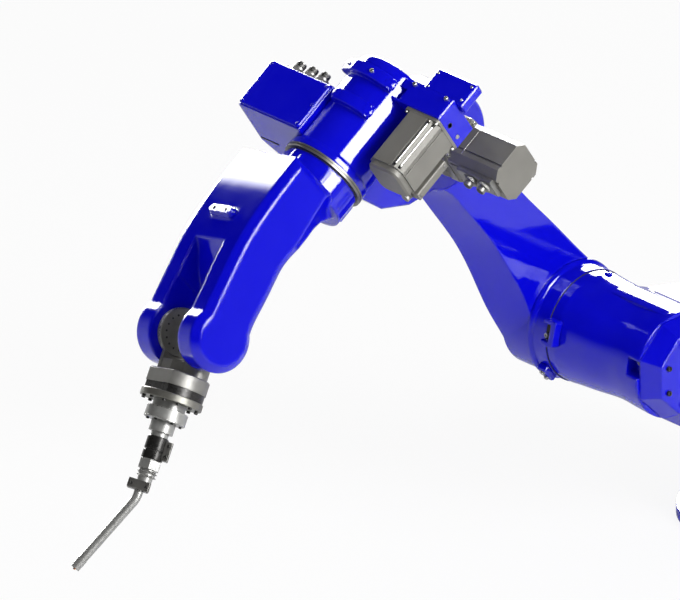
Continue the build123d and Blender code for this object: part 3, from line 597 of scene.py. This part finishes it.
# base
rearSockets = {
    "sides": (-34, 0, 34), "height": 102,
    "nutX": -188.2, "nut": (15.4, 9.0, 13.6),
    "insertX": -193.8, "insert": ((9.8, 0), (9.8, 5.0), (9.0, 5.6), (8.2, 5.6), (8.0, 5.2)),
    "pinX": -199.0, "pins": 6, "pinCircle": 5.4, "pinRadius": 0.9,
}
socketNut = knurledNut(*rearSockets["nut"])
socketInsert = turned(rearSockets["insert"])
nuts, inserts, pins = bmesh.new(), bmesh.new(), bmesh.new()
for side in rearSockets["sides"]:
    centre = (side, rearSockets["height"])
    press(nuts, socketNut, seat(baseLink, (rearSockets["nutX"], *centre), minusX))
    press(inserts, socketInsert, seat(baseLink, (rearSockets["insertX"], *centre), minusX))
    pinPairs = circle(rearSockets["pinCircle"], around(rearSockets["pins"]), centre)
    for spot in onPlane("X", rearSockets["pinX"], pinPairs):
        press(pins, dies["pin"], seat(baseLink, spot, minusX), rearSockets["pinRadius"])
makePiece("base_socket_nuts", "base", "connectorMetal", nuts)
makePiece("base_socket_inserts", "base", "blackRubber", inserts)
makePiece("base_socket_pins", "base", "copperTip", pins)

plateScrews = {
    "head": "socketHead", "radius": 3.4, "link": baseLink, "aim": minusX,
    "spots": onPlane("X", -188, [(-49, 72), (49, 72), (-49, 124), (49, 124)]),
}
makeFixings("base_plate_screws", "base", "zincScrew", "bare_steel", plateScrews)

earthStud = {
    "point": (-168, -60, 72), "radius": 7.0,
    "washer": ((1.0, 0), (1.0, 0.2), (0.45, 0.2), (0.45, 1.5), (0.38, 1.6)),
    "nut": ((0.8, 0.2, 6), (0.8, 0.65, 6), (0.7, 0.75)),
}
stud = bmesh.new()
for shape in ("washer", "nut"):
    press(stud, turned(earthStud[shape]), seat(baseLink, earthStud["point"], minusY), earthStud["radius"])
makePiece("base_earth_stud", "base", "zincScrew", stud)

turntableSeal = {"inner": 129.4, "outer": 132.6, "low": 188.6, "high": 192.1, "slope": 0.8, "sides": 96}
sealLevels = [
    (turntableSeal["inner"], turntableSeal["high"]),
    (turntableSeal["outer"] - turntableSeal["slope"], turntableSeal["high"]),
    (turntableSeal["outer"], turntableSeal["high"] - turntableSeal["slope"]),
    (turntableSeal["outer"], turntableSeal["low"]),
]
seal = bmesh.new()
press(seal, turned(sealLevels, turntableSeal["sides"], closed=True), baseLink)
makePiece("turntable_seal", "base", "blackRubber", seal)
print("base dressed")

# swivel
turntableScrews = {
    "head": "socketHead", "radius": 6.5, "link": baseLink, "aim": plusZ,
    "spots": onPlane("Z", 222.3, circle(127.0, (104, 120, 240, 255, 270, 285, 300))),
}
makeFixings("turntable_screws", "swivel", "blackSteel", "dark_steel", turntableScrews)

shelfScrews = {
    "head": "socketHead", "radius": 4.2, "link": baseLink, "aim": plusZ,
    "spots": onPlane("Z", 246.3, [(1, 116), (1, 190), (103, 116), (103, 190)]),
}
makeFixings("shelf_screws", "swivel", "zincScrew", "bare_steel", shelfScrews)

swivelPlug = {
    "centre": (98, 152, 318), "box": (34, 30, 13), "edge": 2.0,
    "glands": ((104.5, 144, 332.5), (104.5, 160, 332.5)),
    "gland": ((5.6, 0), (5.6, 4), (4.6, 5), (4.6, 10), (3.6, 10.6), (2.4, 10.6), (2.4, 6)),
}
plug = bmesh.new()
press(plug, block(*swivelPlug["box"], swivelPlug["edge"]), seat(baseLink, swivelPlug["centre"], plusX, plusY))
for spot in swivelPlug["glands"]:
    press(plug, turned(swivelPlug["gland"]), seat(baseLink, spot, plusZ))
makePiece("swivel_motor_plug", "swivel", "connectorMetal", plug)

barrelSeal = {
    "inner": 108.6, "outer": 110.3, "width": 2.2, "lips": (0.3, 0), "sides": 96,
    "link": swivelLink, "aim": plusY, "spots": [(0, -133.8, 0)],
}
makeHoops("barrel_seal", "swivel", "blackRubber", barrelSeal)

# a thin black sheet on the window's floor under the bolt: painted shade in the recess
stopWindow = {"angle": 14, "side": -120.5, "floor": 114.1, "windowShade": (19, 33, 0.9), "edge": 0.4}
windowShade = bmesh.new()
press(
    windowShade,
    block(*stopWindow["windowShade"], stopWindow["edge"]),
    barrelSeat(stopWindow["angle"], stopWindow["side"], stopWindow["floor"]),
)
makePiece("stop_window_shade", "swivel", "blackRubber", windowShade)

stopBolt = {"side": -125.0, "floor": 115.0, "drop": 8.0, "radius": 4.6}
pocketBolt = {"point": (75, 86, 24.5), "radius": 6.0}
columnBolt = {"point": (-86, -52, 66.0), "aim": (-0.398, 0, 0.917), "radius": 7.0}
bolts = bmesh.new()
stopSeat = barrelSeat(stopWindow["angle"], stopBolt["side"], stopBolt["floor"])
press(bolts, dies["socketHead"], stopSeat @ shift(0, -stopBolt["drop"] / 1000, 0), stopBolt["radius"])
press(bolts, dies["socketHead"], seat(swivelLink, pocketBolt["point"], plusX), pocketBolt["radius"])
press(bolts, dies["hexHead"], seat(swivelLink, columnBolt["point"], columnBolt["aim"]), columnBolt["radius"])
makePiece("swivel_bolts", "swivel", "zincScrew", bolts)

liftPlug = {"angle": 105, "side": -108, "seatRadius": 108.6, "radius": 8.0}
plug = bmesh.new()
liftSeat = barrelSeat(liftPlug["angle"], liftPlug["side"], liftPlug["seatRadius"])
press(plug, dies["lowHead"], liftSeat, liftPlug["radius"])
makePiece("barrel_lift_plug", "swivel", "bluePaint", plug)

pocketRibs = {"x": 75, "middle": 113, "rises": (12, 18, 24, 30), "box": (30, 2.0, 7.0), "edge": 0.6}
pocketRib = block(*pocketRibs["box"], pocketRibs["edge"])
ribs = bmesh.new()
for rise in pocketRibs["rises"]:
    press(ribs, pocketRib, seat(swivelLink, (pocketRibs["x"], pocketRibs["middle"], rise), plusX, plusY))
makePiece("barrel_pocket_ribs", "swivel", "bluePaint", ribs)

endCapScrews = {
    "head": "socketHead", "radius": 5.0, "link": swivelLink, "aim": plusY,
    "spots": onPlane("Y", 142, circle(66, around(8, 22.5))),
}
makeFixings("end_cap_screws", "swivel", "blackSteel", "dark_steel", endCapScrews)
print("swivel dressed")

# lower arm
bumperBolts = {"angle": -38, "side": -149.5, "face": 123.0, "rises": (9, -8), "radius": 5.0}
bumperSeat = barrelSeat(bumperBolts["angle"], bumperBolts["side"], bumperBolts["face"])
bolts = bmesh.new()
for rise in bumperBolts["rises"]:
    press(bolts, dies["hexHead"], bumperSeat @ shift(0, rise / 1000, 0), bumperBolts["radius"])
makePiece("bumper_bolts", "lower_arm", "zincScrew", bolts)

# rounded shoulder where the neck runs out into the arm
neckShoulder = {
    "side": -176.4, "foot": 103.5, "curve": 14.0, "leans": (4, 14, 24, 34, 44, 54, 60), "topShare": 0.8,
    "sides": 120, "smooth": 60.0,
}
neckFoot, neckCurve = neckShoulder["foot"], neckShoulder["curve"]
neckLevels = [(neckFoot, 0), *circle(neckCurve, neckShoulder["leans"], (neckFoot, 0))]
neckLevels.append((neckFoot, neckCurve * neckShoulder["topShare"]))
neckRing = turned(neckLevels, neckShoulder["sides"], closed=True)
ring = bmesh.new()
press(ring, neckRing, seat(swivelLink, (0, neckShoulder["side"], 0), plusY))
makePiece("neck_shoulder", "lower_arm", "bluePaint", ring, neckShoulder["smooth"])

shoulderCoverScrews = {
    "head": "socketHead", "radius": 4.6, "link": shoulderLink, "aim": minusY,
    "spots": onPlane("Y", -270.5, circle(58, around(8, 22.5))),
}
elbowCoverScrews = {
    "head": "socketHead", "radius": 4.2, "link": elbowLink, "aim": minusY,
    "spots": onPlane("Y", -296.5, circle(56, around(8, 22.5))),
}
makeFixings(
    "arm_cover_screws", "lower_arm", "blackSteel", "dark_steel", shoulderCoverScrews, elbowCoverScrews,
)
print("lower arm dressed")

# elbow
bracketTopScrews = {
    "head": "socketHead", "radius": 4.4, "link": elbowLink, "aim": plusZ,
    "spots": onPlane("Z", 255, [(30, 26.5), (29, -57)]),
}
bracketSideScrew = {
    "head": "lowHead", "radius": 4.4, "link": elbowLink, "aim": plusY, "spots": [(60.5, 41, 185)],
}
makeFixings("bracket_screws", "elbow", "zincScrew", "bare_steel", bracketTopScrews, bracketSideScrew)

# a dark dish at the bracket's hole: painted shade inside the hole
bracketHoleShade = {
    "head": "holeShade", "radius": 4.0, "link": elbowLink, "aim": plusY, "spots": [(60.5, 41, 219)],
}
makeFixings("bracket_hole_shade", "elbow", "blackSteel", "dark_steel", bracketHoleShade)

lugScrews = {"x": 55, "angles": (78, 118), "seatRadius": 97.0, "radius": 4.2}
screws = bmesh.new()
for angle in lugScrews["angles"]:
    lugSeat = tubeSeat(lugScrews["x"], angle, lugScrews["seatRadius"])
    press(screws, dies["socketHead"], lugSeat, lugScrews["radius"])
makePiece("lug_screws", "elbow", "zincScrew", screws)

lugEnds = {
    "spots": ((55, 53), (55, 128), (123, 54), (123, 100)), "foot": 80.0, "sides": 32,
    "levels": ((12.0, 0), (12.0, 14.0), (11.0, 16.2), (9.0, 17.0)),
}
lugEnd = turned(lugEnds["levels"], lugEnds["sides"])
ends = bmesh.new()
for x, angle in lugEnds["spots"]:
    press(ends, lugEnd, tubeSeat(x, angle, lugEnds["foot"]))
makePiece("lug_ends", "elbow", "bluePaint", ends)

lidScrews = {
    "head": "lowHead", "radius": 3.2, "link": elbowLink, "aim": plusZ,
    "spots": onPlane("Z", 295, [(x, y) for x in (120, 165.5, 211) for y in (-335, -190)]),
}
makeFixings("lid_screws", "elbow", "bluePaint", "blue_paint", lidScrews)

boxSlot = {"centre": (219.5, -316, 187), "box": (48, 4.5, 0.7), "edge": 0.3}
slot = bmesh.new()
press(slot, block(*boxSlot["box"], boxSlot["edge"]), seat(elbowLink, boxSlot["centre"], plusX, plusY))
makePiece("junction_slot_gasket", "elbow", "blackRubber", slot)

boxPlugs = {
    "pairs": ((-302, 264), (-270, 264), (-238, 264)),
    "nutX": 107.5, "nut": ((14.4, 0, 6), (14.4, 6.5, 6), (13.4, 7.4)),
    "capX": 94, "cap": (9.6, 8.0, 5.4),
    "screwX": 108, "screws": ((-315, 277), (-225, 277), (-315, 251), (-225, 251)), "screwRadius": 2.6,
}
boxNut, boxCap = turned(boxPlugs["nut"]), knurledNut(*boxPlugs["cap"])
nuts, caps = bmesh.new(), bmesh.new()
for pair in boxPlugs["pairs"]:
    press(nuts, boxNut, seat(elbowLink, (boxPlugs["nutX"], *pair), minusX))
    press(caps, boxCap, seat(elbowLink, (boxPlugs["capX"], *pair), minusX))
for spot in onPlane("X", boxPlugs["screwX"], boxPlugs["screws"]):
    press(nuts, dies["socketHead"], seat(elbowLink, spot, minusX), boxPlugs["screwRadius"])
makePiece("junction_plug_nuts", "elbow", "connectorMetal", nuts)
makePiece("junction_plug_caps", "elbow", "blackSteel", caps)

ringSeal = {
    "inner": 84.6, "outer": 85.9, "width": 1.8, "lips": (0.3, 0.3), "sides": 96,
    "link": elbowLink, "aim": plusX, "spots": [(240.6, *rollAxis)],
}
makeHoops("bearing_ring_seal", "elbow", "blackRubber", ringSeal)

rollMotorScrews = {
    "head": "socketHead", "radius": 3.6, "link": elbowLink, "aim": plusX,
    "spots": onPlane("X", 78, square((-3, 207), 38.3)),
}
gearCoverScrews = {
    "head": "lowHead", "radius": 3.0, "link": elbowLink, "aim": plusZ,
    "spots": onPlane("Z", 241, [(-18, -44), (-18, 44), (14, -44), (14, 44)]),
}
makeFixings("roll_motor_screws", "elbow", "zincScrew", "bare_steel", rollMotorScrews, gearCoverScrews)

# two tie bars along the roll motor's upper corner, with a nut near each end
tieBars = {
    "pairs": ((22.5, 249.6), (31.0, 243.0)), "start": 80, "length": 109, "radius": 1.9, "tipRadius": 1.33,
    "tip": 0.8, "sides": 16,
    "nutXs": (83, 185), "nut": ((3.0, 0, 6), (3.0, 4.5, 6), (2.5, 5.0)),
}
barLevels = [
    (tieBars["tipRadius"], 0),
    (tieBars["radius"], tieBars["tip"]),
    (tieBars["radius"], tieBars["length"] - tieBars["tip"]),
    (tieBars["tipRadius"], tieBars["length"]),
]
tieBar, barNut = turned(barLevels, tieBars["sides"]), turned(tieBars["nut"])
bars, nuts = bmesh.new(), bmesh.new()
for pair in tieBars["pairs"]:
    press(bars, tieBar, seat(elbowLink, (tieBars["start"], *pair), plusX))
    for x in tieBars["nutXs"]:
        press(nuts, barNut, seat(elbowLink, (x, *pair), plusX))
makePiece("roll_motor_tie_bars", "elbow", "zincScrew", bars)
makePiece("roll_motor_bar_nuts", "elbow", "blackSteel", nuts)

rollPlug = {
    "pair": (10, 155), "nutX": 190, "nut": ((8.2, 0, 6), (8.2, 5, 6), (7.6, 5.6)),
    "capX": 197.5, "cap": (8.4, 6.0, 4.5),
    "screws": ((112, 36.1, 155), (184, 36.1, 155)), "screwRadius": 2.8,
}
plug = bmesh.new()
press(plug, turned(rollPlug["nut"]), seat(elbowLink, (rollPlug["nutX"], *rollPlug["pair"]), plusX))
press(plug, knurledNut(*rollPlug["cap"]), seat(elbowLink, (rollPlug["capX"], *rollPlug["pair"]), plusX))
for spot in rollPlug["screws"]:
    press(plug, dies["lowHead"], seat(elbowLink, spot, plusY), rollPlug["screwRadius"])
makePiece("roll_motor_plug_nuts", "elbow", "connectorMetal", plug)

elbowMotorScrews = {
    "head": "socketHead", "radius": 3.8, "link": elbowLink, "aim": plusY,
    "spots": onPlane("Y", -79, square((2, 5), 38.8)),
}
makeFixings("elbow_motor_screws", "elbow", "zincScrew", "bare_steel", elbowMotorScrews)

# bright joint lines on top of the elbow motor: middle, length and direction
jointLines = {
    "lines": (((2, -50, 49), 58, plusX), ((-27.5, -2, 49), 96, plusY)), "section": (1.2, 0.6), "edge": 0.2,
}
lines = bmesh.new()
for middle, length, along in jointLines["lines"]:
    bar = block(length, *jointLines["section"], jointLines["edge"])
    press(lines, bar, seat(elbowLink, middle, plusZ, along))
makePiece("elbow_motor_joint_lines", "elbow", "zincScrew", lines)

elbowPlugs = {
    "pairs": ((-14, 20), (20, 20)),
    "nutX": 57.5, "nut": (13.2, 6.0, 8.4),
    "collarX": 67, "collar": ((9.0, 0), (9.0, 5.5), (8.2, 6.2)),
    "insertX": 73.1, "insert": ((7.2, 0), (7.2, 0.8), (6.4, 1.0), (1.4, 1.0), (1.2, 0.5)),
    "screwX": 57, "screws": ((-30, 2), (-30, 26), (36, 2), (36, 26)), "screwRadius": 2.4,
}
plugs, inserts = bmesh.new(), bmesh.new()
plugNut = knurledNut(*elbowPlugs["nut"])
plugCollar, plugInsert = turned(elbowPlugs["collar"]), turned(elbowPlugs["insert"])
for pair in elbowPlugs["pairs"]:
    press(plugs, plugNut, seat(elbowLink, (elbowPlugs["nutX"], *pair), plusX))
    press(plugs, plugCollar, seat(elbowLink, (elbowPlugs["collarX"], *pair), plusX))
    press(inserts, plugInsert, seat(elbowLink, (elbowPlugs["insertX"], *pair), plusX))
for spot in onPlane("X", elbowPlugs["screwX"], elbowPlugs["screws"]):
    press(plugs, dies["lowHead"], seat(elbowLink, spot, plusX), elbowPlugs["screwRadius"])
makePiece("elbow_motor_plug_nuts", "elbow", "connectorMetal", plugs)
makePiece("elbow_motor_plug_inserts", "elbow", "blackRubber", inserts)
print("elbow dressed")

# forearm
padScrews = {
    "head": "lowHead", "radius": 3.6, "link": forearmLink, "aim": plusZ,
    "spots": onPlane("Z", 120, [(435, -22), (435, 20)]),
}
makeFixings("forearm_pad_screws", "forearm", "blackSteel", "dark_steel", padScrews)

collarSeal = {
    "inner": 78.4, "outer": 79.6, "width": 2.0, "lips": (0.3, 0.4), "sides": 96,
    "link": forearmLink, "aim": plusX, "spots": [(247.2, 0, 0)],
}
makeHoops("forearm_collar_seal", "forearm", "blackRubber", collarSeal)
print("forearm dressed")

# wrist
# dark dishes at the disc's 16 holes: painted shade inside the holes
hubHoleShade = {
    "head": "holeShade", "radius": 1.6, "link": wristLink, "aim": plusY,
    "spots": onPlane("Y", -41, circle(33, around(16, 11.25))),
}
makeFixings("wrist_disc_hole_shade", "wrist", "blackSteel", "dark_steel", hubHoleShade)

hubRings = {
    "inner": 45.6, "outer": 46.5, "width": 1.0, "lips": (0.2, 0.2), "sides": 72,
    "link": wristLink, "aim": minusY, "spots": [(0, -43.2, 0), (0, -46.6, 0)],
}
makeHoops("wrist_disc_rings", "wrist", "zincScrew", hubRings)

gearboxScrews = {
    "head": "socketHead", "radius": 3.7, "link": wristLink, "aim": plusX,
    "spots": onPlane("X", 133.7, circle(52.5, around(12, 15))),
}
makeFixings("gearbox_flange_screws", "wrist", "blackSteel", "dark_steel", gearboxScrews)
print("wrist dressed")

# torch
mountScrews = {
    "head": "socketHead", "radius": 2.9, "link": torchLink, "aim": plusX,
    "spots": onPlane("X", 170, circle(31.5, around(6, 30))),
}
clampScrews = {
    "head": "lowHead", "radius": 3.0, "link": torchLink, "aim": plusY,
    "spots": [(212, 13, -23), (232, 13, -23), (296, 14, -7), (296, 14, 21)],
}
makeFixings("torch_screws", "tool", "blackSteel", "dark_steel", mountScrews, clampScrews)

mountRims = {
    "inner": 38.6, "outer": 40.0, "width": 1.6, "lips": (0.3, 0.3), "sides": 72,
    "link": torchLink, "aim": plusX, "spots": [(147.6, 0, 0), (167.4, 0, 0)],
}
makeHoops("torch_mount_rims", "tool", "zincScrew", mountRims)

contactTip = {"start": 13.0, "levels": ((3.4, 0), (3.4, 7.0), (2.2, 12.0), (0.9, 12.0), (0.8, 9.0))}
tip = bmesh.new()
press(tip, turned(contactTip["levels"]), seat(tipLink, (contactTip["start"], 0, 0), plusX))
makePiece("torch_contact_tip", "tool", "copperTip", tip)
print("torch dressed")
